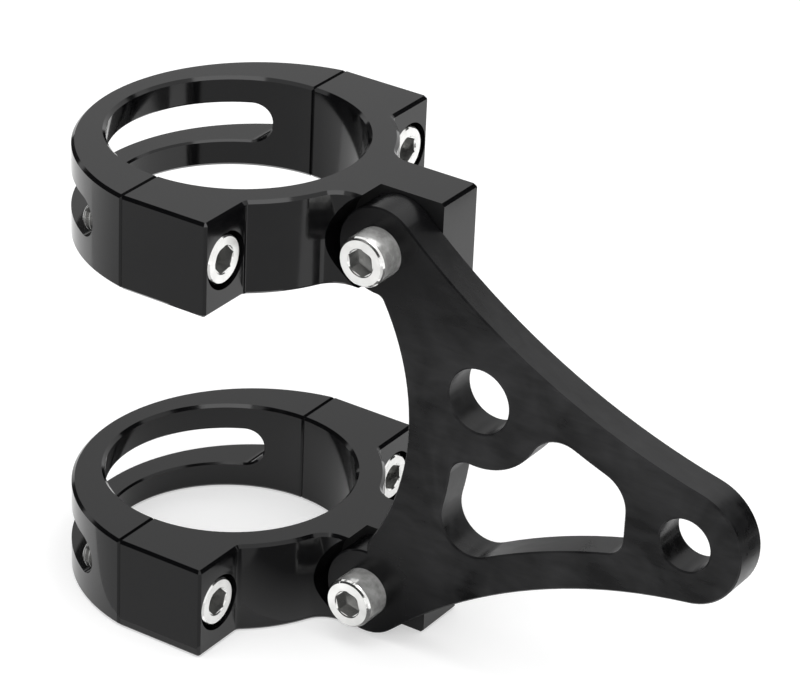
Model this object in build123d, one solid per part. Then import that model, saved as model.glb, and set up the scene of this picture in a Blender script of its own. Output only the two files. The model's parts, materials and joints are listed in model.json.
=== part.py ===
from build123d import *
import os
from math import hypot, sqrt

# Headlight bracket for one fork leg: two split clamps carry a flat side plate.
# Millimetres. Z runs up the fork tube, X points forward and the plate lies on the -Y side.
# The origin is on the tube's axis, half way up the lower clamp.

# Tube and clamps
tube_d = 50.0
clamp_height = 19.2
clamp_pitch = 73.3
ring_wall = 5.8
cap_wall = 5.0
edge_break = 0.6
split_break = 0.4
corner_break = 0.5

# Metric socket-head fasteners
thread_d = 6.0
head_d = 10.0
head_height = 6.0
head_round = 0.5
socket_width = 5.0
socket_depth = 3.2
socket_lead = 0.3
tip_break = 0.8
clamp_screw_length = 25.0
plate_bolt_length = 16.0
hole_clearance = 0.3
thread_clearance = 0.05

# Ears of the clamp body, each with a sunk screw head
screw_wall = 1.8
head_clearance = 0.7
ear_rim = 0.6
ear_grip = 13.1
head_recess = 0.3
ear_fillet = 1.5

# Slot round the back of the cap, and the solid land at each end of it
slot_height = 8.0
slot_land = 8.6
slot_break = 0.4

# Block on the clamp body, with the pocket that seats the plate's lug
block_width = 18.4
block_fillet = 5.5
block_lip = 9.1
seat_offset = 2.4
pocket_wall = 3.6
pocket_gap = 1.9
thread_mouth = 0.5

# Side plate
plate_thickness = 7.5
plate_break = 0.3
lug_r = 8.9
lug_fillet = 2.0
nose_r = 11.7
headlight_hole_d = 10.5
headlight_reach = 68.2
headlight_drop = 1.35
indicator_hole_d = 13.0
indicator_reach = 23.2
indicator_rise = 12.95
upper_edge_r = 147.0
lower_edge_r = 119.3
rear_edge_gap = 0.4
rear_edge_reach = 8.15
rear_edge_rise = 1.65

# Metal left between the plate's window and what is beside it; the rear and lower webs run into the lugs
rear_web_over_lug = 1.0
lower_web_under_lug = 1.2
upper_web = 8.4
indicator_web = 7.3
headlight_web = 7.45
window_round = 3.8
window_large_round = 6.8
window_round_share = 0.36

# Hex socket turns as tightened, in degrees about each fastener's axis
clamp_screw_turns = {"right": 12.0, "left": 34.0}
plate_bolt_turns = {"upper": 39.0, "lower": 45.0}

# Worked out from the sizes above
tube_r = tube_d / 2
thread_r = thread_d / 2
head_r = head_d / 2
ring_r = tube_r + ring_wall
clear_r = thread_r + hole_clearance
tapped_r = thread_r + thread_clearance
counterbore_r = head_r + head_clearance
screw_y = tube_r + screw_wall + clear_r
ear_reach = screw_y + counterbore_r + ear_rim
ear_length = ear_grip + head_height + head_recess
pocket_r = lug_r + pocket_gap
bolt_x = tube_r + pocket_wall + pocket_r
block_end = bolt_x + block_lip
half_height = clamp_height / 2
clamp_middles = {"lower": 0.0, "upper": clamp_pitch}

# The cap's outer arc runs from ear to ear through its thinnest point straight behind the tube
cap_back = tube_r + cap_wall
cap_centre = (ear_reach**2 - cap_back**2) / (2 * cap_back)
cap_r = cap_back + cap_centre

# Places on the side plate, as (x, z)
lower_lug = Vector(bolt_x, 0)
upper_lug = Vector(bolt_x, clamp_pitch)
lug_middle = (lower_lug + upper_lug) / 2
headlight_hole = lug_middle + Vector(headlight_reach, -headlight_drop)
indicator_hole = lug_middle + Vector(indicator_reach, indicator_rise)

# The rear edge's arc crosses the line of the lugs just beyond each lug
rear_half_chord = clamp_pitch / 2 - lug_r - rear_edge_gap
rear_edge_r = (rear_half_chord**2 + rear_edge_reach**2) / (2 * rear_edge_reach)
rear_edge_centre = lug_middle + Vector(rear_edge_reach - rear_edge_r, rear_edge_rise)

rear_web = lug_r + rear_web_over_lug
lower_web = lug_r - lower_web_under_lug

# Larger than the whole part, for half planes and cuts that run right through
beyond = 4 * (block_end + headlight_reach)
near = 1e-4


def at(place):
    """Moves a flat shape to a Vector in its plane."""
    return Pos(place.X, place.Y)


def side_of(sign):
    """Half plane ahead of the split for +1, behind it for -1."""
    return Pos(sign * beyond / 2, 0) * Rectangle(beyond, beyond)


def on_circle(centre, radius):
    """Test for a vertex in the XY plane that lies on a circle."""
    return lambda vertex: abs(hypot(vertex.X - centre.X, vertex.Y - centre.Y) - radius) < near


def rods(radius, low_x, high_x):
    """Round bars along X at both screw places of one clamp, for holes and counterbores."""
    bar = Rot(0, 90, 0) * Cylinder(radius, high_x - low_x, align=(Align.CENTER, Align.CENTER, Align.MIN))
    return [Pos(low_x, sign * screw_y) * bar for sign in (-1, 1)]


def break_edges(half):
    """Breaks the edges at the split, then those round the top and bottom."""
    at_split = half.faces().filter_by(Axis.X).filter_by(lambda face: abs(face.center().X) < near)
    half = chamfer(at_split.edges(), split_break)
    ends = half.faces().filter_by(Axis.Z).filter_by(lambda face: abs(abs(face.center().Z) - half_height) < near)
    outer = ends.edges().filter_by(lambda edge: edge.center().X**2 > (2 * split_break)**2)
    return chamfer(outer, edge_break)


def clamp_body():
    """Front half of a clamp: half ring, two ears with sunk screws, and the block that takes the plate."""
    ears = Pos(ear_length / 2, 0) * Rectangle(ear_length, 2 * ear_reach)
    block = Pos(block_end / 2, 0) * Rectangle(block_end, block_width)
    plan = (Circle(ring_r) + ears + block - Circle(tube_r)) & side_of(1)
    inner = plan.vertices().filter_by(on_circle(Vector(0, 0), ring_r))
    plan = fillet(inner.filter_by(lambda vertex: abs(vertex.Y) > block_width), ear_fillet)
    inner = plan.vertices().filter_by(on_circle(Vector(0, 0), ring_r))
    plan = fillet(inner.filter_by(lambda vertex: abs(abs(vertex.Y) - block_width / 2) < near), block_fillet)
    outer = plan.vertices().filter_by(
        lambda vertex: abs(vertex.X - block_end) < near
        or hypot(vertex.X - ear_length, abs(vertex.Y) - ear_reach) < near
    )
    plan = chamfer(outer, corner_break)
    body = break_edges(extrude(plan, half_height, both=True))
    body -= seat_pocket()
    body -= rods(counterbore_r, ear_grip, beyond)
    body -= rods(clear_r, -near, beyond)
    return body - plate_bolt_thread()


def seat_pocket():
    """Room for the plate's lug: round behind the bolt and open to the front, down to the seat."""
    seat = Plane.XZ.offset(seat_offset)
    round_end = at(lower_lug) * Circle(pocket_r)
    open_end = Pos(bolt_x + beyond / 2, 0) * Rectangle(beyond, 2 * pocket_r)
    return extrude(seat * (round_end + open_end), beyond)


def plate_bolt_thread():
    """Tapped hole from the seat through the block, with a broken mouth on the far side."""
    out_of_block = Plane((bolt_x, block_width / 2, 0), z_dir=(0, 1, 0))
    depth = block_width / 2 + seat_offset
    hole = Cylinder(tapped_r, depth, align=(Align.CENTER, Align.CENTER, Align.MAX))
    mouth = Cone(tapped_r, tapped_r + thread_mouth, thread_mouth, align=(Align.CENTER, Align.CENTER, Align.MAX))
    return out_of_block * (hole + mouth)


def clamp_cap():
    """Rear half of a clamp: a crescent with a slot round its back and a tapped land at each end."""
    crescent = (Pos(cap_centre, 0) * Circle(cap_r) - Circle(tube_r)) & side_of(-1)
    cap = break_edges(extrude(crescent, half_height, both=True))
    slot_r = slot_height / 2
    slot_end_x = -slot_land - slot_r
    slot = Pos(slot_end_x, 0) * Circle(slot_r)
    slot += Pos(slot_end_x - beyond / 2, 0) * Rectangle(beyond, slot_height)
    cap -= extrude(Plane.XZ * slot, beyond, both=True)
    rim = cap.edges().filter_by(lambda edge: on_slot_rim(edge @ 0.5, slot_r))
    cap = chamfer(rim, slot_break)
    return cap - rods(tapped_r, slot_end_x, near)


def on_slot_rim(point, slot_r):
    """Whether a point lies where the slot breaks into the bore."""
    on_bore = abs(hypot(point.X, point.Y) - tube_r) < near
    return on_bore and abs(point.Z) < slot_r + near and point.X < near - slot_land


def crossing(first, first_r, second, second_r, side):
    """Point where two circles cross, to the left of the way from first to second for side +1."""
    across = second - first
    along = (first_r**2 - second_r**2 + across.length**2) / (2 * across.length)
    off = sqrt(first_r**2 - along**2)
    forward = across.normalized()
    return first + forward * along + Vector(-forward.Y, forward.X) * (side * off)


def side_plate():
    """Flat plate: two bolt lugs, a nose for the headlight, hollow edges and a window between its holes."""
    upper_centre = crossing(upper_lug, upper_edge_r + lug_r, headlight_hole, upper_edge_r + nose_r, 1)
    lower_centre = crossing(lower_lug, lower_edge_r + lug_r, headlight_hole, lower_edge_r + nose_r, -1)

    web = make_face(Polyline(upper_lug, upper_centre, headlight_hole, lower_centre, lower_lug, close=True))
    web -= at(upper_centre) * Circle(upper_edge_r)
    web -= at(lower_centre) * Circle(lower_edge_r)
    web -= at(rear_edge_centre) * Circle(rear_edge_r)
    outline = web + at(upper_lug) * Circle(lug_r) + at(lower_lug) * Circle(lug_r)
    outline += at(headlight_hole) * Circle(nose_r)
    corners = outline.vertices().filter_by(on_circle(rear_edge_centre, rear_edge_r))
    outline = fillet(corners, lug_fillet)

    headlight_r = headlight_hole_d / 2
    indicator_r = indicator_hole_d / 2
    rims = {
        "upper": (upper_centre, upper_edge_r + upper_web),
        "lower": (lower_centre, lower_edge_r + lower_web),
        "rear": (rear_edge_centre, rear_edge_r + rear_web),
        "indicator": (indicator_hole, indicator_r + indicator_web),
    }
    flat = outline - plate_window(web, rims, headlight_hole.X - headlight_r - headlight_web)
    flat -= at(headlight_hole) * Circle(headlight_r)
    flat -= at(indicator_hole) * Circle(indicator_r)
    flat -= at(upper_lug) * Circle(clear_r)
    flat -= at(lower_lug) * Circle(clear_r)
    plate = extrude(Plane.XZ.offset(seat_offset) * flat, plate_thickness)
    return chamfer(plate.faces().filter_by(Axis.Y).edges(), plate_break)


def plate_window(web, rims, front_x):
    """Window that the four rims and an upright front side leave in the web, with its corners rounded."""
    window = web - Pos(front_x + beyond / 2, headlight_hole.Y) * Rectangle(beyond, beyond)
    for centre, radius in rims.values():
        window -= at(centre) * Circle(radius)
    window = Sketch() + window.faces().sort_by(SortBy.AREA)[-1]
    on_side = {name: on_circle(*rim) for name, rim in rims.items()}
    on_side["front"] = lambda vertex: abs(vertex.X - front_x) < near

    def corner(one, other):
        return window.vertices().filter_by(on_side[one]).filter_by(on_side[other])[0]

    # Both ends of the upper side have the large round, which never takes more than its share of that side
    upper_side = corner("indicator", "upper").distance_to(corner("upper", "front"))
    large_round = min(window_large_round, window_round_share * upper_side)
    for one, other, radius in (
        ("lower", "front", window_round),
        ("rear", "indicator", window_round),
        ("indicator", "upper", large_round),
        ("upper", "front", large_round),
        ("lower", "rear", large_round),
    ):
        window = fillet(corner(one, other), radius)
    return window


def cap_screw(length, turn):
    """Socket-head screw along Z: the head sits on z = 0 and the thread runs down from it."""
    head = Cylinder(head_r, head_height, align=(Align.CENTER, Align.CENTER, Align.MIN))
    head = fillet(head.edges().sort_by(Axis.Z)[-1], head_round)
    hexagon = RegularPolygon(socket_width / 2, 6, major_radius=False, rotation=turn)
    head -= extrude(Plane.XY.offset(head_height) * hexagon, -socket_depth)
    lead_r = socket_width / sqrt(3)
    head -= Pos(0, 0, head_height) * Cone(
        lead_r - socket_lead, lead_r, socket_lead, align=(Align.CENTER, Align.CENTER, Align.MAX)
    )
    shank = Cylinder(thread_r, length, align=(Align.CENTER, Align.CENTER, Align.MAX))
    shank = chamfer(shank.edges().sort_by(Axis.Z)[0], tip_break)
    return head + shank


os.makedirs("parts", exist_ok=True)

body = clamp_body()
cap = clamp_cap()
export_step(side_plate(), "parts/side_plate.step")

for level, middle in clamp_middles.items():
    export_step(Pos(0, 0, middle) * body, f"parts/{level}_clamp_body.step")
    export_step(Pos(0, 0, middle) * cap, f"parts/{level}_clamp_cap.step")
    for side, sign in (("right", -1), ("left", 1)):
        under_head = Plane((ear_grip, sign * screw_y, middle), x_dir=(0, 1, 0), z_dir=(1, 0, 0))
        screw = under_head * cap_screw(clamp_screw_length, clamp_screw_turns[side])
        export_step(screw, f"parts/{level}_clamp_screw_{side}.step")
    plate_front = Plane((bolt_x, -seat_offset - plate_thickness, middle), x_dir=(1, 0, 0), z_dir=(0, -1, 0))
    bolt = plate_front * cap_screw(plate_bolt_length, plate_bolt_turns[level])
    export_step(bolt, f"parts/{level}_plate_bolt.step")
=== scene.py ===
import json
import math

import bmesh
import bpy
from bpy.props import FloatProperty, FloatVectorProperty, PointerProperty
from mathutils import Matrix, Quaternion, Vector


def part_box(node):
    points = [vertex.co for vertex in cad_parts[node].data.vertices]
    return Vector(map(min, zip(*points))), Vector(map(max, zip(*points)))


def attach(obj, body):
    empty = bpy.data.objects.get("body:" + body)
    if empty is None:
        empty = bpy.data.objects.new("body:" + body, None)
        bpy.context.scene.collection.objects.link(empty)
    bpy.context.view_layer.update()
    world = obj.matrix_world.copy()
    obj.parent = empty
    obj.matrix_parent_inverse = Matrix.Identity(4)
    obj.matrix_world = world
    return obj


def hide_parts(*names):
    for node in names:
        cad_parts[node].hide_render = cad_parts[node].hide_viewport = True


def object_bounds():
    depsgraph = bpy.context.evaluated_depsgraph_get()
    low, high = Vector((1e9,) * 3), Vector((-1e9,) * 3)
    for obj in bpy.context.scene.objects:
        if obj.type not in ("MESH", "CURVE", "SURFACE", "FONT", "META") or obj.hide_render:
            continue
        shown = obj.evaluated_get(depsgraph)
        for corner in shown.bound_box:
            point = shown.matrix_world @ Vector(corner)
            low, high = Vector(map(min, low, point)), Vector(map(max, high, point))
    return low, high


bl_info = {
    "name": "Fork-clamp headlight bracket",
    "version": (1, 0, 0),
    "blender": (4, 5, 0),
    "location": "3D View > Sidebar > Bracket",
    "description": "Finishes a fork-clamp headlight bracket and sets it in a pale studio",
    "category": "Object",
}

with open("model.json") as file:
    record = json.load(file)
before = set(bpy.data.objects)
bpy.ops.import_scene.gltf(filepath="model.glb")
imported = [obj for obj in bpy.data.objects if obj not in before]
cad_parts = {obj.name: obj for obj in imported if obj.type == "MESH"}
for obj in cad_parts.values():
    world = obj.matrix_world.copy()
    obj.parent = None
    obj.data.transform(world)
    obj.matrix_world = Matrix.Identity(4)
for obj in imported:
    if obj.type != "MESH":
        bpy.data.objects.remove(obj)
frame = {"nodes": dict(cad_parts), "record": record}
cad_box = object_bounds()

MM = 0.001
# Sockets of a Mix node that mixes colours.
MIX_FIRST = 6
MIX_SECOND = 7
MIX_RESULT = 2
# Material slots of a screw: its face, the side of its head, its socket, its thread and its broken edges.
FACE, SIDE, SOCKET, THREAD, EDGE = range(5)
# Sides of the polygons that stand for circles on a screw.
HEAD_SIDES = 96
SMALL_SIDES = 72
THREAD_SIDES = 36
# Faces of a screw that meet at less than this are shaded as one.
SMOOTH_BELOW = math.radians(20)


def linear(hex_code):
    """Scene-linear colour of an sRGB hex value."""
    channels = [int(hex_code[at:at + 2], 16) / 255 for at in (0, 2, 4)]
    return tuple(c / 12.92 if c <= 0.04045 else ((c + 0.055) / 1.055) ** 2.4 for c in channels)


def pieces_in(slot):
    """Names of the CAD nodes that take their finish from a slot of the record."""
    return [part["node"] for part in frame["record"]["subparts"] if part["material_slot"] == slot]


def add_node(tree, kind, inputs=None, **settings):
    """Adds a node, with settings, and with inputs that are values or other nodes' outputs."""
    added = tree.nodes.new(kind)
    for name, value in settings.items():
        setattr(added, name, value)
    for socket, value in (inputs or {}).items():
        if isinstance(value, bpy.types.NodeSocket):
            tree.links.new(value, added.inputs[socket])
        else:
            added.inputs[socket].default_value = value
    return added


def new_material(name):
    """An empty material, its node tree and the coordinates of the object that it is on."""
    material = bpy.data.materials.new(name)
    material.use_nodes = True
    tree = material.node_tree
    tree.nodes.clear()
    place = add_node(tree, "ShaderNodeTexCoord").outputs["Object"]
    return material, tree, place


def close_material(tree, shader):
    """Joins a shader to the material's output."""
    add_node(tree, "ShaderNodeOutputMaterial", {"Surface": shader.outputs[0]})


def put_on(material, names):
    """Gives CAD nodes a finish through their objects' material slots."""
    for name in names:
        for slot in frame["nodes"][name].material_slots:
            slot.material = material


def opaque(colour):
    """A colour with its alpha."""
    return (*colour, 1.0)


def direction(bearing, rise):
    """Unit vector at a bearing from +Y, towards +X, and at a rise above the horizon, both in radians."""
    return Vector((math.sin(bearing) * math.cos(rise), math.cos(bearing) * math.cos(rise), math.sin(rise)))


class BracketFinish(bpy.types.PropertyGroup):
    """Colours and surface sizes of the bracket's finishes."""

    # Deep dye also paints the plate round its bolts, as painted shade.
    dye_deep_and_bolt_shade: FloatVectorProperty(
        name="Deep dye", description="Black of the anodised layer where the dye is densest",
        subtype="COLOR", size=3, default=linear("050506"))
    dye_thin: FloatVectorProperty(
        name="Thin dye", description="Black of the anodised layer where the dye is thinner",
        subtype="COLOR", size=3, default=linear("0a0a0b"))
    dye_worn: FloatVectorProperty(
        name="Worn dye", description="Black of the plate's anodised layer where handling has dulled it",
        subtype="COLOR", size=3, default=linear("262627"))
    clamp_roughness: FloatProperty(
        name="Clamp roughness", description="Mean roughness of the milled and anodised clamps",
        subtype="FACTOR", min=0.0, max=1.0, default=0.1)
    pocket_roughness: FloatProperty(
        name="Pocket roughness", description="Roughness of the pocket floors on the clamps",
        subtype="FACTOR", min=0.0, max=1.0, default=0.5)
    plate_roughness: FloatProperty(
        name="Plate roughness", description="Mean roughness of the rolled and anodised plate",
        subtype="FACTOR", min=0.0, max=1.0, default=0.33)
    lay_spacing: FloatProperty(
        name="Lay spacing", description="Spacing of the cutter's marks on the clamps",
        subtype="DISTANCE", unit="LENGTH", default=0.35 * MM)
    lay_length: FloatProperty(
        name="Lay length", description="Length over which one of the cutter's marks holds",
        subtype="DISTANCE", unit="LENGTH", default=12.5 * MM)
    cloud_size: FloatProperty(
        name="Cloud size", description="Size of the faint clouds in the dye",
        subtype="DISTANCE", unit="LENGTH", default=7 * MM)
    mottle_length: FloatProperty(
        name="Mottle length", description="Length of the strokes that rolling left on the plate",
        subtype="DISTANCE", unit="LENGTH", default=9 * MM)
    mottle_width: FloatProperty(
        name="Mottle width", description="Width of the strokes that rolling left on the plate",
        subtype="DISTANCE", unit="LENGTH", default=2.2 * MM)
    # Within this radius of a plate bolt the plate is painted in deep dye only: painted shade where the bolt
    # head and the clamp's ear shade it.
    bolt_shade_radius: FloatProperty(
        name="Untouched radius", description="Radius round a plate bolt within which nothing dulls the plate",
        subtype="DISTANCE", unit="LENGTH", default=7 * MM)
    # Beyond this radius from a plate bolt the painted shade has faded out, and the plate keeps only its
    # mottle.
    bolt_shade_edge_radius: FloatProperty(
        name="Rubbed radius", description="Radius round a plate bolt beyond which handling dulls the plate",
        subtype="DISTANCE", unit="LENGTH", default=22 * MM)
    smear_size: FloatProperty(
        name="Smear size", description="Size of the soft dull smears that handling left on the plate",
        subtype="DISTANCE", unit="LENGTH", default=16 * MM)
    zinc_bright: FloatVectorProperty(
        name="Bright zinc", description="Zinc plating where it is brightest",
        subtype="COLOR", size=3, default=linear("fbfbf9"))
    zinc_dull: FloatVectorProperty(
        name="Dull zinc", description="Zinc plating where it has dulled",
        subtype="COLOR", size=3, default=linear("c0c0be"))
    zinc_patch: FloatProperty(
        name="Zinc patches", description="Size of the patches where the plating has dulled",
        subtype="DISTANCE", unit="LENGTH", default=2.4 * MM)
    zinc_roughness: FloatProperty(
        name="Zinc roughness", description="Mean roughness of the zinc plating",
        subtype="FACTOR", min=0.0, max=1.0, default=0.16)


class BracketFasteners(bpy.types.PropertyGroup):
    """Sizes of the socket-head screws and bolts."""

    head_height: FloatProperty(
        name="Head height", description="Height of the head above what it clamps",
        subtype="DISTANCE", unit="LENGTH", default=6 * MM)
    head_chamfer: FloatProperty(
        name="Head chamfer", description="Chamfer on the rim of the head",
        subtype="DISTANCE", unit="LENGTH", default=0.5 * MM)
    head_shoulder: FloatProperty(
        name="Head shoulder", description="Break of the edge between the chamfer and the side of the head",
        subtype="DISTANCE", unit="LENGTH", default=0.25 * MM)
    socket_width: FloatProperty(
        name="Socket width", description="Width of the hexagon socket across its flats",
        subtype="DISTANCE", unit="LENGTH", default=5 * MM)
    socket_depth: FloatProperty(
        name="Socket depth", description="Depth of the hexagon socket's walls",
        subtype="DISTANCE", unit="LENGTH", default=3.2 * MM)
    socket_point: FloatProperty(
        name="Socket point", description="Depth of the hollow point at the bottom of the socket",
        subtype="DISTANCE", unit="LENGTH", default=0.6 * MM)
    socket_lead: FloatProperty(
        name="Socket lead", description="Countersink at the mouth of the socket",
        subtype="DISTANCE", unit="LENGTH", default=0.2 * MM)
    thread_diameter: FloatProperty(
        name="Thread diameter", description="Diameter over the crests of the thread",
        subtype="DISTANCE", unit="LENGTH", default=5.96 * MM)
    thread_pitch: FloatProperty(
        name="Thread pitch", description="Advance of the thread in one turn",
        subtype="DISTANCE", unit="LENGTH", default=1 * MM)
    tip_break: FloatProperty(
        name="Tip chamfer", description="Chamfer at the tip of the thread",
        subtype="DISTANCE", unit="LENGTH", default=0.8 * MM)


class BracketStage(bpy.types.PropertyGroup):
    """The studio round the bracket and the camera that looks at it."""

    floor_colour: FloatVectorProperty(
        name="Floor", description="Colour of the floor sheet",
        subtype="COLOR", size=3, default=linear("f9f9f9"))
    floor_width: FloatProperty(
        name="Floor width", description="Width of the square floor sheet",
        subtype="DISTANCE", unit="LENGTH", default=12.0)
    card_distance: FloatProperty(
        name="Card distance", description="Distance from the bracket to the cards that it mirrors",
        subtype="DISTANCE", unit="LENGTH", default=0.9)
    floor_shading: FloatProperty(
        name="Floor shading", description="Share of the floor's own light and shadow that is seen",
        subtype="FACTOR", min=0.0, max=1.0, default=0.7)
    floor_glow: FloatProperty(
        name="Floor glow", description="White that is added to the floor where it is seen",
        subtype="FACTOR", min=0.0, max=1.0, default=0.45)
    mirror_glow: FloatProperty(
        name="Mirror glow", description="White that is added to the floor where it is mirrored",
        subtype="FACTOR", min=0.0, max=1.0, default=0.2)
    sky_light: FloatProperty(
        name="Sky light", description="Light from all round, where 1 is white",
        default=0.82, min=0.0, max=2.0)
    softbox_width: FloatProperty(
        name="Softbox width", description="Width of the square softbox overhead",
        subtype="DISTANCE", unit="LENGTH", default=0.5)
    softbox_power: FloatProperty(
        name="Softbox power", description="Power of the softbox overhead",
        unit="POWER", default=1.7)
    fill_width: FloatProperty(
        name="Fill width", description="Width of the square fill light in front",
        subtype="DISTANCE", unit="LENGTH", default=0.8)
    fill_power: FloatProperty(
        name="Fill power", description="Power of the fill light in front",
        unit="POWER", default=4.0)
    target: FloatVectorProperty(
        name="Target", description="Point that the camera looks at",
        subtype="TRANSLATION", unit="LENGTH", size=3, default=(0.03713, 0.00235, 0.04801))
    azimuth: FloatProperty(
        name="Azimuth", description="How far round to the bracket's front the camera stands",
        subtype="ANGLE", unit="ROTATION", default=math.radians(32.663))
    elevation: FloatProperty(
        name="Elevation", description="How far above the horizon the camera stands",
        subtype="ANGLE", unit="ROTATION", default=math.radians(27.945))
    roll: FloatProperty(
        name="Roll", description="How far the camera is turned about its own line of sight",
        subtype="ANGLE", unit="ROTATION", default=math.radians(2.537))
    distance: FloatProperty(
        name="Distance", description="Distance from the target to the camera",
        subtype="DISTANCE", unit="LENGTH", default=0.7232)
    lens: FloatProperty(
        name="Lens", description="Focal length on a 36 mm sensor",
        unit="CAMERA", default=171.55)


def milled_black_anodised(finish):
    """Aluminium milled from bar and anodised black.

    The dyed oxide is a smooth dark glaze: nearly black head on, grey where it mirrors the room at a slant.
    The cutter's lay shows through it as faint level lines, and the dye is very slightly cloudy.
    """
    material, tree, place = new_material("milled_black_anodised_aluminium")
    cloud = add_node(tree, "ShaderNodeTexNoise", {
        "Vector": place, "Scale": 1 / finish.cloud_size, "Detail": 3.0, "Roughness": 0.55})
    dye = add_node(tree, "ShaderNodeMix", {
        0: cloud.outputs["Fac"], MIX_FIRST: opaque(finish.dye_deep_and_bolt_shade), MIX_SECOND: opaque(finish.dye_thin)},
        data_type="RGBA")
    gloss = add_node(tree, "ShaderNodeMapRange", {
        "Value": cloud.outputs["Fac"], "From Min": 0.3, "From Max": 0.7,
        "To Min": finish.clamp_roughness - 0.02, "To Max": finish.clamp_roughness + 0.02})
    # The pocket's floor, level with the back of the plate, keeps the duller finish of the end mill.
    at = add_node(tree, "ShaderNodeSeparateXYZ", {"Vector": place})
    depth = add_node(tree, "ShaderNodeMath", {
        0: at.outputs["Y"], 1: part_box("side_plate")[1].y, 2: 0.1 * MM}, operation="COMPARE")
    face = add_node(tree, "ShaderNodeSeparateXYZ", {
        "Vector": add_node(tree, "ShaderNodeNewGeometry").outputs["True Normal"]})
    facing = add_node(tree, "ShaderNodeMath", {0: face.outputs["Y"], 1: -0.9}, operation="LESS_THAN")
    pocket = add_node(tree, "ShaderNodeMath", {
        0: depth.outputs[0], 1: facing.outputs[0]}, operation="MULTIPLY")
    milled = add_node(tree, "ShaderNodeMix", {
        0: pocket.outputs[0], 2: gloss.outputs["Result"], 3: finish.pocket_roughness})
    # A cutter's marks are about 0.1 mm apart. They are drawn coarser, so that they show.
    across = add_node(tree, "ShaderNodeMapping", {
        "Vector": place,
        "Scale": (1 / finish.lay_length, 1 / finish.lay_length, 1 / finish.lay_spacing)})
    lay = add_node(tree, "ShaderNodeTexNoise", {
        "Vector": across.outputs["Vector"], "Scale": 1.0, "Detail": 2.0})
    relief = add_node(tree, "ShaderNodeBump", {
        "Height": lay.outputs["Fac"], "Strength": 0.3, "Distance": 0.003 * MM})
    # A sealed oxide has an IOR of about 1.6. The lower one is matched to how strongly the clamps mirror.
    shader = add_node(tree, "ShaderNodeBsdfPrincipled", {
        "Base Color": dye.outputs[MIX_RESULT], "Roughness": milled.outputs[0], "IOR": 1.44,
        "Normal": relief.outputs["Normal"]})
    close_material(tree, shader)
    return material


def rolled_black_anodised(finish):
    """Rolled aluminium plate, tumbled and anodised black.

    It is duller and darker than the milled clamps, and long faint strokes from the rolling mottle its gloss.
    """
    material, tree, place = new_material("rolled_black_anodised_aluminium")
    along = add_node(tree, "ShaderNodeMapping", {
        "Vector": place, "Rotation": (0.0, math.radians(50), 0.0),
        "Scale": (1 / finish.mottle_length, 1 / finish.mottle_width, 1 / finish.mottle_width)})
    mottle = add_node(tree, "ShaderNodeTexNoise", {
        "Vector": along.outputs["Vector"], "Scale": 1.0, "Detail": 4.0, "Roughness": 0.6, "Distortion": 0.4})
    smear = add_node(tree, "ShaderNodeTexNoise", {
        "Vector": place, "Scale": 1 / finish.smear_size, "Detail": 3.0, "Roughness": 0.5, "Distortion": 0.8})
    blend = add_node(tree, "ShaderNodeMix", {
        0: 0.3, 2: smear.outputs["Fac"], 3: mottle.outputs["Fac"]})
    patchy = add_node(tree, "ShaderNodeMapRange", {
        "Value": blend.outputs[0], "From Min": 0.36, "From Max": 0.64})
    # The plate is painted darkest round the bolts: painted shade, where the bolt heads and the clamps' ears
    # shade it.
    gaps = []
    for bolt in ("lower_plate_bolt", "upper_plate_bolt"):
        low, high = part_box(bolt)
        centre = (low + high) / 2
        centre.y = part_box("side_plate")[0].y
        gaps.append(add_node(tree, "ShaderNodeVectorMath", {0: place, 1: centre}, operation="DISTANCE"))
    gap = add_node(tree, "ShaderNodeMath", {
        0: gaps[0].outputs["Value"], 1: gaps[1].outputs["Value"]}, operation="MINIMUM")
    out_of_bolt_shade = add_node(tree, "ShaderNodeMapRange", {
        "Value": gap.outputs[0], "From Min": finish.bolt_shade_radius, "From Max": finish.bolt_shade_edge_radius})
    mottle_and_bolt_shade = add_node(tree, "ShaderNodeMath", {
        0: patchy.outputs["Result"], 1: out_of_bolt_shade.outputs["Result"]}, operation="MULTIPLY")
    # Deep and worn black are mixed at random, and only deep black is painted round the bolts, as painted
    # shade.
    dye = add_node(tree, "ShaderNodeMix", {
        0: mottle_and_bolt_shade.outputs[0], MIX_FIRST: opaque(finish.dye_deep_and_bolt_shade), MIX_SECOND: opaque(finish.dye_worn)},
        data_type="RGBA")
    gloss = add_node(tree, "ShaderNodeMapRange", {
        "Value": mottle_and_bolt_shade.outputs[0],
        "To Min": finish.plate_roughness - 0.08, "To Max": finish.plate_roughness + 0.08})
    relief = add_node(tree, "ShaderNodeBump", {
        "Height": mottle.outputs["Fac"], "Strength": 0.3, "Distance": 0.008 * MM})
    # The tumbled oxide mirrors less than the milled one, so its matched IOR is lower.
    shader = add_node(tree, "ShaderNodeBsdfPrincipled", {
        "Base Color": dye.outputs[MIX_RESULT], "Roughness": gloss.outputs["Result"], "IOR": 1.31,
        "Normal": relief.outputs["Normal"]})
    close_material(tree, shader)
    return material


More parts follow.
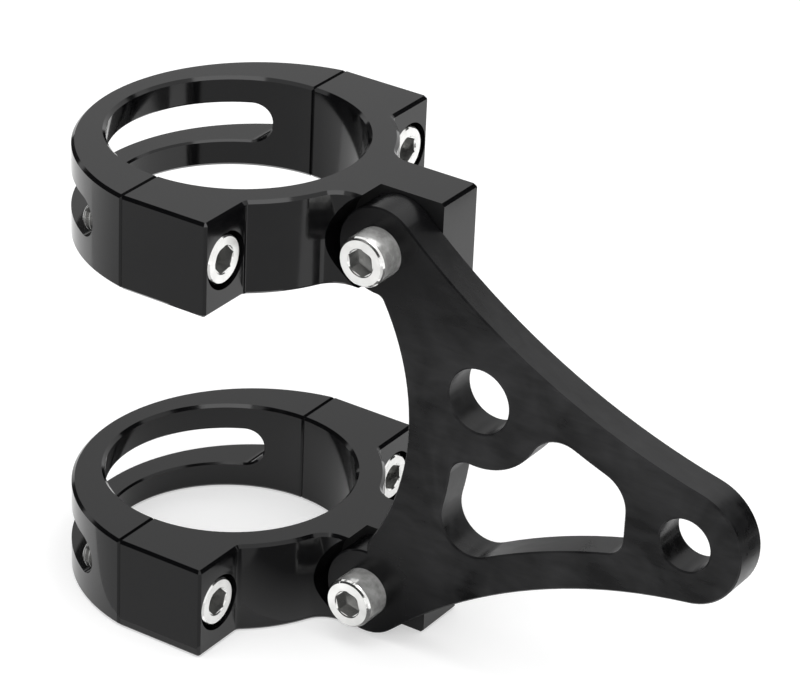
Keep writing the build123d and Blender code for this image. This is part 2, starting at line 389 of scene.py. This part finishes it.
def zinc_plated_steel(finish, name, metallic, painted_shade_brightness, wear):
    """Cold-forged steel with bright zinc plating.

    Almost white where it mirrors the room, and dulled in soft patches by wear. Less metallic plating is
    milky, and a brightness factor below 1 paints it darker, as painted shade.
    """
    material, tree, place = new_material(name)
    patch = add_node(tree, "ShaderNodeTexNoise", {
        "Vector": place, "Scale": 1 / finish.zinc_patch, "Detail": 4.0, "Roughness": 0.6})
    worn = add_node(tree, "ShaderNodeMapRange", {
        "Value": patch.outputs["Fac"], "From Min": 0.35, "From Max": 0.65, "To Max": wear})
    # The plating's colours are scaled down where a slot is painted in shade.
    bright, dull = (
        opaque([painted_shade_brightness * channel for channel in colour]) for colour in (finish.zinc_bright, finish.zinc_dull))
    plating = add_node(tree, "ShaderNodeMix", {
        0: worn.outputs["Result"], MIX_FIRST: bright, MIX_SECOND: dull}, data_type="RGBA")
    gloss = add_node(tree, "ShaderNodeMapRange", {
        "Value": worn.outputs["Result"],
        "To Min": finish.zinc_roughness - 0.03, "To Max": finish.zinc_roughness + 0.09})
    relief = add_node(tree, "ShaderNodeBump", {
        "Height": patch.outputs["Fac"], "Strength": 0.2, "Distance": 0.01 * MM})
    shader = add_node(tree, "ShaderNodeBsdfPrincipled", {
        "Base Color": plating.outputs[MIX_RESULT], "Metallic": metallic, "Roughness": gloss.outputs["Result"],
        "Normal": relief.outputs["Normal"]})
    close_material(tree, shader)
    return material


def only(piece):
    """Selects one object and makes it the active one."""
    bpy.ops.object.select_all(action="DESELECT")
    piece.select_set(True)
    bpy.context.view_layer.objects.active = piece


def apply_modifier(piece, kind, **settings):
    """Puts a modifier on a piece and applies it."""
    only(piece)
    modifier = piece.modifiers.new(kind.lower(), kind)
    for name, value in settings.items():
        setattr(modifier, name, value)
    bpy.ops.object.modifier_apply(modifier=modifier.name)


def combine(piece, other, operation):
    """Joins a piece to another shape, cuts it or trims it with that shape, and removes the shape."""
    apply_modifier(piece, "BOOLEAN", object=other, operation=operation, solver="EXACT")
    bpy.data.objects.remove(other)


def bar(sides, low, high, low_radius, high_radius):
    """An upright bar on the Z axis, straight or tapered."""
    bpy.ops.object.select_all(action="DESELECT")
    bpy.ops.mesh.primitive_cone_add(
        vertices=sides, radius1=low_radius, radius2=high_radius, depth=high - low,
        location=(0.0, 0.0, (low + high) / 2))
    bpy.ops.object.transform_apply()
    return bpy.context.object


def shape_end(piece, height, operator, **settings):
    """Shapes the flat end of an upright bar, or the edge round it at one height, in edit mode."""
    bpy.ops.object.mode_set(mode="EDIT")
    mesh = bmesh.from_edit_mesh(piece.data)
    slack = 0.001
    for vert in mesh.verts:
        vert.select_set(abs(vert.co.z - height) < slack)
    mesh.select_flush_mode()
    operator(**settings)
    bpy.ops.object.mode_set(mode="OBJECT")


def threaded_bar(sizes, length):
    """A bar with a single-start thread and a chamfered tip, on the Z axis, in millimetres.

    It runs down from inside the head, a little above the origin.
    """
    pitch = sizes["thread_pitch"]
    crest = sizes["thread_diameter"] / 2
    # A metric thread is 0.61 of its pitch deep.
    depth = 0.61 * pitch
    top = sizes["head_height"] / 4
    bpy.ops.object.select_all(action="DESELECT")
    bpy.ops.mesh.primitive_plane_add(size=pitch)
    thread = bpy.context.object
    bpy.ops.object.mode_set(mode="EDIT")
    bpy.ops.mesh.merge(type="CENTER")
    # The thread starts nearly two turns below the tip, and what is past the tip or the top is cut off.
    bpy.ops.transform.translate(value=(crest - depth, 0.0, -length - 1.95 * pitch))
    turns = math.ceil((length + top) / pitch) + 3
    # One pitch of the thread's outline: half a root, a flank, a crest, a flank and half a root.
    for out, up in ((0, 2), (1, 5), (0, 2), (-1, 5), (0, 2)):
        bpy.ops.mesh.extrude_region_move(
            TRANSFORM_OT_translate={"value": (out * depth, 0.0, up * pitch / 16)})
    bpy.ops.object.mode_set(mode="OBJECT")
    apply_modifier(
        thread, "SCREW", angle=2 * math.pi, screw_offset=pitch, iterations=turns,
        steps=THREAD_SIDES, render_steps=THREAD_SIDES, use_merge_vertices=True, merge_threshold=0.0001)
    bpy.ops.object.mode_set(mode="EDIT")
    for height, side in ((-length, "clear_inner"), (top, "clear_outer")):
        bpy.ops.mesh.select_all(action="SELECT")
        bpy.ops.mesh.bisect(
            plane_co=(0.0, 0.0, height), plane_no=(0.0, 0.0, 1.0), use_fill=True, threshold=0.00001,
            **{side: True})
    bpy.ops.mesh.select_all(action="SELECT")
    bpy.ops.mesh.remove_doubles(threshold=0.0001)
    bpy.ops.mesh.normals_make_consistent(inside=False)
    bpy.ops.object.mode_set(mode="OBJECT")
    # The blank clears the crests, so that it trims only the tip.
    margin = 0.1
    blank = bar(SMALL_SIDES, -length, top + pitch, crest + margin, crest + margin)
    shape_end(blank, -length, bpy.ops.mesh.bevel, offset=sizes["tip_break"] + margin, affect="EDGES")
    combine(thread, blank, "INTERSECT")
    return thread


def socket_screw(sizes, head_radius, length):
    """A socket-head screw on the Z axis, in millimetres, with the underside of its head at the origin."""
    top = sizes["head_height"]
    corner = sizes["socket_width"] / math.sqrt(3)
    bottom = top - sizes["socket_depth"]
    lead = sizes["socket_lead"]
    clear = 1.0
    slack = 0.01
    screw = bar(HEAD_SIDES, 0.0, top, head_radius, head_radius)
    shape_end(screw, top, bpy.ops.mesh.bevel, offset=sizes["head_chamfer"], affect="EDGES")
    rim = top - sizes["head_chamfer"]
    shape_end(screw, rim, bpy.ops.mesh.bevel, offset=sizes["head_shoulder"], affect="EDGES")
    hexagon = bar(6, bottom, top + clear, corner, corner)
    shape_end(hexagon, bottom, bpy.ops.mesh.poke, offset=sizes["socket_point"])
    combine(screw, hexagon, "DIFFERENCE")
    countersink = bar(SMALL_SIDES, top - lead, top + lead, corner - lead, corner + lead)
    combine(screw, countersink, "DIFFERENCE")
    combine(screw, threaded_bar(sizes, length), "UNION")
    only(screw)
    bpy.ops.object.shade_smooth_by_angle(angle=SMOOTH_BELOW)
    for face in screw.data.polygons:
        reach = [math.hypot(*screw.data.vertices[index].co.xy) for index in face.vertices]
        if face.center.z < 0:
            face.material_index = THREAD
        elif face.center.z < top - lead and max(reach) < corner + lead:
            face.material_index = SOCKET
        elif min(reach) > head_radius - slack:
            face.material_index = SIDE
        elif face.normal.z < 0.9:
            face.material_index = EDGE
        else:
            face.material_index = FACE
    return screw


class BRACKET_OT_clamps(bpy.types.Operator):
    """Finish the clamp bodies and caps"""

    bl_idname = "bracket.clamps"
    bl_label = "Clamps"

    def execute(self, context):
        clamps = [name for name in pieces_in("black_anodised") if "clamp" in name]
        put_on(milled_black_anodised(context.scene.bracket_finish), clamps)
        return {"FINISHED"}


class BRACKET_OT_side_plate(bpy.types.Operator):
    """Finish the side plate"""

    bl_idname = "bracket.side_plate"
    bl_label = "Side plate"

    def execute(self, context):
        put_on(rolled_black_anodised(context.scene.bracket_finish), ["side_plate"])
        return {"FINISHED"}


class BRACKET_OT_fasteners(bpy.types.Operator):
    """Model the clamp screws and the plate bolts, with their threads"""

    bl_idname = "bracket.fasteners"
    bl_label = "Fasteners"

    def execute(self, context):
        fasteners = context.scene.bracket_fasteners
        # The pattern is modelled in millimetres, so that its small faces keep their precision.
        sizes = {name: getattr(fasteners, name) / MM for name in fasteners.__annotations__}
        finish = context.scene.bracket_finish
        # How metallic, how bright and how worn the plating is in each of a screw's slots. Less bright is
        # painted shade.
        plating = {
            FACE: ("zinc_plated_face", 0.55, 1.0, 0.25),
            SIDE: ("zinc_plated_side", 0.65, 1.0, 1.0),
            # The socket is painted at half brightness: painted shade in its recess.
            SOCKET: ("zinc_plated_socket", 0.88, 0.5, 0.6),
            # The thread is painted at about a third of the brightness: painted shade on its tip down in the
            # clamp's slot.
            THREAD: ("zinc_plated_thread", 0.8, 0.36, 0.6),
            EDGE: ("zinc_plated_edge", 1.0, 1.0, 0.25),
        }
        steels = [zinc_plated_steel(finish, *plating[slot]) for slot in sorted(plating)]
        # Where each kind's head points, the direction its socket's turn is taken from, and its pieces' turns.
        kinds = (
            ("clamp_screw", Vector((1.0, 0.0, 0.0)), Vector((0.0, 1.0, 0.0)), {"right": 12, "left": 34}),
            ("plate_bolt", Vector((0.0, -1.0, 0.0)), Vector((1.0, 0.0, 0.0)), {"upper": 39, "lower": 45}),
        )
        for kind, heading, side, turns in kinds:
            nodes = [name for name in pieces_in("bright_steel") if kind in name]
            low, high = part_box(nodes[0])
            reach = abs((high - low).dot(heading))
            head_radius = abs((high - low).dot(side)) / 2
            pattern = socket_screw(sizes, head_radius / MM, (reach - fasteners.head_height) / MM)
            for node in nodes:
                low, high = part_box(node)
                turn = next(angle for word, angle in turns.items() if word in node)
                seat = (low + high) / 2 + heading * (reach / 2 - fasteners.head_height)
                axes = Matrix((side, heading.cross(side), heading)).transposed().to_4x4()
                # The hexagon's first corner is modelled at 30 degrees.
                spin = Matrix.Rotation(math.radians(turn - 30), 4, "Z")
                screw = pattern.copy()
                screw.data = pattern.data.copy()
                screw.name = node + "_threaded"
                context.scene.collection.objects.link(screw)
                screw.matrix_world = Matrix.Translation(seat) @ axes @ spin @ Matrix.Scale(MM, 4)
                only(screw)
                bpy.ops.object.transform_apply()
                for steel in steels:
                    screw.data.materials.append(steel)
                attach(screw, "root")
                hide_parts(node)
            bpy.data.objects.remove(pattern)
        return {"FINISHED"}


def seen_directly(tree):
    """1 for rays that show a surface or the world as it is: from the camera, or off or through a gloss."""
    ray = add_node(tree, "ShaderNodeLightPath")
    seen = ray.outputs["Is Camera Ray"]
    for kind in ("Is Glossy Ray", "Is Transmission Ray"):
        either = add_node(tree, "ShaderNodeMath", {0: seen, 1: ray.outputs[kind]}, operation="MAXIMUM")
        seen = either.outputs[0]
    return seen


def add_sheet(name, width, height, location, toward, material):
    """A flat stage sheet that faces a point."""
    bpy.ops.object.select_all(action="DESELECT")
    bpy.ops.mesh.primitive_plane_add(size=1.0, location=location)
    sheet = bpy.context.object
    sheet.name = name
    sheet.scale = (width, height, 1.0)
    sheet.rotation_mode = "QUATERNION"
    sheet.rotation_quaternion = (Vector(toward) - Vector(location)).to_track_quat("Z", "Y")
    sheet.data.materials.append(material)
    return sheet


class BRACKET_OT_studio(bpy.types.Operator):
    """Set the floor, the lights, the cards that the bracket mirrors, and the camera"""

    bl_idname = "bracket.studio"
    bl_label = "Studio"

    def execute(self, context):
        scene = context.scene
        stage = scene.bracket_stage
        low, high = (Vector(corner) for corner in cad_box)
        middle = (low + high) / 2
        self.lay_floor(stage, middle, low.z)
        self.light(scene, stage, middle)
        self.hang_cards(stage, middle, low.z)
        self.place_camera(scene, stage)
        scene.view_settings.view_transform = "Standard"
        return {"FINISHED"}

    def lay_floor(self, stage, middle, height):
        """Lays a sheet of white paper under the bracket."""
        material, tree, place = new_material("matt_white_paper")
        # The paper has faint clouds, 24 mm across. The sheet's own coordinates run once over its width.
        cloud = 24 * MM / stage.floor_width
        clouds = add_node(tree, "ShaderNodeTexNoise", {"Vector": place, "Scale": 1 / cloud, "Detail": 2.0})
        tone = add_node(tree, "ShaderNodeMix", {
            0: clouds.outputs["Fac"], MIX_FIRST: opaque(stage.floor_colour),
            MIX_SECOND: opaque([0.985 * channel for channel in stage.floor_colour])}, data_type="RGBA")
        paper = add_node(tree, "ShaderNodeBsdfPrincipled", {
            "Base Color": tone.outputs[MIX_RESULT], "Roughness": 0.9, "Specular IOR Level": 0.0})
        # Where the floor is seen, part of its shading gives way to plain white. Its mirror image gets less.
        camera = add_node(tree, "ShaderNodeLightPath").outputs["Is Camera Ray"]
        shading = add_node(tree, "ShaderNodeMapRange", {
            "Value": camera, "To Min": 1.0, "To Max": stage.floor_shading})
        shaded = add_node(tree, "ShaderNodeMixShader", {0: shading.outputs["Result"], 2: paper.outputs[0]})
        faint = add_node(tree, "ShaderNodeMath", {
            0: seen_directly(tree), 1: stage.mirror_glow}, operation="MULTIPLY")
        glow = add_node(tree, "ShaderNodeMapRange", {
            "Value": camera, "To Min": faint.outputs[0], "To Max": stage.floor_glow})
        white = add_node(tree, "ShaderNodeEmission", {
            "Color": (1.0, 1.0, 1.0, 1.0), "Strength": glow.outputs["Result"]})
        lifted = add_node(tree, "ShaderNodeAddShader", {0: shaded.outputs[0], 1: white.outputs[0]})
        close_material(tree, lifted)
        spot = Vector((middle.x, middle.y, height))
        above = spot + Vector((0.0, 0.0, 1.0))
        add_sheet("floor", stage.floor_width, stage.floor_width, spot, above, material)

    def light(self, scene, stage, middle):
        """Hangs the softbox and the fill, and lights the bracket from all round."""
        for name, offset, width, power in (
            ("softbox", Vector((0.08, -0.08, 0.7)), stage.softbox_width, stage.softbox_power),
            ("fill", Vector((0.25, -1.0, 0.35)), stage.fill_width, stage.fill_power),
        ):
            lamp = bpy.data.lights.new(name, "AREA")
            lamp.shape = "SQUARE"
            lamp.size = width
            lamp.energy = power
            panel = bpy.data.objects.new(name, lamp)
            panel.location = middle + offset
            panel.rotation_mode = "QUATERNION"
            panel.rotation_quaternion = (-offset).to_track_quat("-Z", "Y")
            # The fill only opens the shadows: it isn't mirrored.
            panel.visible_glossy = name != "fill"
            scene.collection.objects.link(panel)

        world = bpy.data.worlds.new("white_studio")
        world.use_nodes = True
        scene.world = world
        tree = world.node_tree
        tree.nodes.clear()
        strength = add_node(tree, "ShaderNodeMapRange", {
            "Value": seen_directly(tree), "To Min": stage.sky_light, "To Max": 1.0})
        sky = add_node(tree, "ShaderNodeBackground", {
            "Color": (1.0, 1.0, 1.0, 1.0), "Strength": strength.outputs["Result"]})
        add_node(tree, "ShaderNodeOutputWorld", {"Surface": sky.outputs[0]})

    def hang_cards(self, stage, middle, floor_height):
        """Sets dark and pale cards where the bracket mirrors them."""
        # Each card's bearing from +Y, its rise above the horizon, its width and its height, all in degrees,
        # and its brightness, where 1 is white.
        for name, bearing, rise, wide, high, bright in (
            ("card_left", -66, 8, 56, 16, 0.05),
            ("card_side", -104, 32, 40, 24, 0.03),
            ("card_front", 192, 46, 74, 22, 0.02),
            ("card_camera", 147, 28.5, 34, 21, 0.03),
            ("card_split", 34, 29.5, 22, 20, 0.02),
            ("card_behind", -33, 29, 28, 22, 0.72),
            ("card_high", 8, 43, 50, 16, 1.4),
        ):
            offset = direction(math.radians(bearing), math.radians(rise)) * stage.card_distance
            width, height = (
                2 * stage.card_distance * math.tan(math.radians(angle) / 2) for angle in (wide, high))
            self.add_card(name, width, height, middle + offset, middle, bright)
        # One more stands close to the plate's nose and faces it.
        nose = Vector((0.115, -0.006, 0.045))
        self.add_card("card_right", 0.107, 0.16, Vector((0.232, 0.144, 0.09)), nose, 0.02)
        # Three dark cards lie on the floor: in front of the bracket, behind its nose and before its lower
        # lug.
        # They are painted shade: seen only in reflections, they darken the floor where the bracket mirrors
        # it.
        # Each has a width, a depth, a place across and along the floor, a brightness and a fade.
        for name, width, depth, across, along, bright, fade in (
            ("shade_card_floor", 0.545, 0.363, 0.0725, -0.219, 0.65, 0.2),
            ("shade_card_nose", 0.15, 0.16, 0.225, 0.12, 0.15, 0.0),
            ("shade_card_lug", 0.044, 0.03, 0.048, -0.0225, 0.15, 0.42),
        ):
            spot = Vector((across, along, floor_height + MM))
            self.add_card(name, width, depth, spot, spot + Vector((0.0, 0.0, 1.0)), bright, fade)

    def add_card(self, name, width, height, location, toward, bright, fade=0.0):
        """A card that is seen only in reflections."""
        material, tree, place = new_material(name + "_grey")
        strength = bright
        if fade:
            # The card goes over to white across this share of its width, towards its left edge.
            across = add_node(tree, "ShaderNodeSeparateXYZ", {"Vector": place})
            strength = add_node(tree, "ShaderNodeMapRange", {
                "Value": across.outputs["X"], "From Min": 0.5, "From Max": 0.5 - fade,
                "To Min": 1.0, "To Max": bright}).outputs["Result"]
        close_material(tree, add_node(tree, "ShaderNodeEmission", {
            "Color": (1.0, 1.0, 1.0, 1.0), "Strength": strength}))
        card = add_sheet(name, width, height, location, toward, material)
        # It neither shows nor lights nor shades.
        card.visible_camera = False
        card.visible_diffuse = False
        card.visible_shadow = False

    def place_camera(self, scene, stage):
        """Sets the camera at the photograph's viewing angle."""
        back = direction(math.pi - stage.azimuth, stage.elevation)
        lens = bpy.data.cameras.new("camera")
        lens.lens = stage.lens
        lens.sensor_width = 36.0
        lens.sensor_fit = "HORIZONTAL"
        lens.clip_start = 0.01
        camera = bpy.data.objects.new("camera", lens)
        camera.location = Vector(stage.target) + back * stage.distance
        camera.rotation_mode = "QUATERNION"
        facing = (-back).to_track_quat("-Z", "Y")
        camera.rotation_quaternion = facing @ Quaternion((0.0, 0.0, 1.0), stage.roll)
        scene.collection.objects.link(camera)
        scene.camera = camera


class BRACKET_PT_sidebar(bpy.types.Panel):
    """Lists the bracket's finishes, its fasteners and its studio, with the steps that make them"""

    bl_idname = "BRACKET_PT_sidebar"
    bl_label = "Headlight bracket"
    bl_space_type = "VIEW_3D"
    bl_region_type = "UI"
    bl_category = "Bracket"

    def draw(self, context):
        for group, steps in (
            (context.scene.bracket_finish, (BRACKET_OT_clamps, BRACKET_OT_side_plate)),
            (context.scene.bracket_fasteners, (BRACKET_OT_fasteners,)),
            (context.scene.bracket_stage, (BRACKET_OT_studio,)),
        ):
            box = self.layout.box()
            for name in group.__annotations__:
                box.prop(group, name)
            for step in steps:
                box.operator(step.bl_idname)


CLASSES = (
    BracketFinish,
    BracketFasteners,
    BracketStage,
    BRACKET_OT_clamps,
    BRACKET_OT_side_plate,
    BRACKET_OT_fasteners,
    BRACKET_OT_studio,
    BRACKET_PT_sidebar,
)


def register():
    for cls in CLASSES:
        bpy.utils.register_class(cls)
    bpy.types.Scene.bracket_finish = PointerProperty(type=BracketFinish)
    bpy.types.Scene.bracket_fasteners = PointerProperty(type=BracketFasteners)
    bpy.types.Scene.bracket_stage = PointerProperty(type=BracketStage)


def unregister():
    del bpy.types.Scene.bracket_stage
    del bpy.types.Scene.bracket_fasteners
    del bpy.types.Scene.bracket_finish
    for cls in reversed(CLASSES):
        bpy.utils.unregister_class(cls)


def main():
    register()
    bpy.ops.bracket.clamps()
    bpy.ops.bracket.side_plate()
    bpy.ops.bracket.fasteners()
    bpy.ops.bracket.studio()


if __name__ == "__main__":
    main()
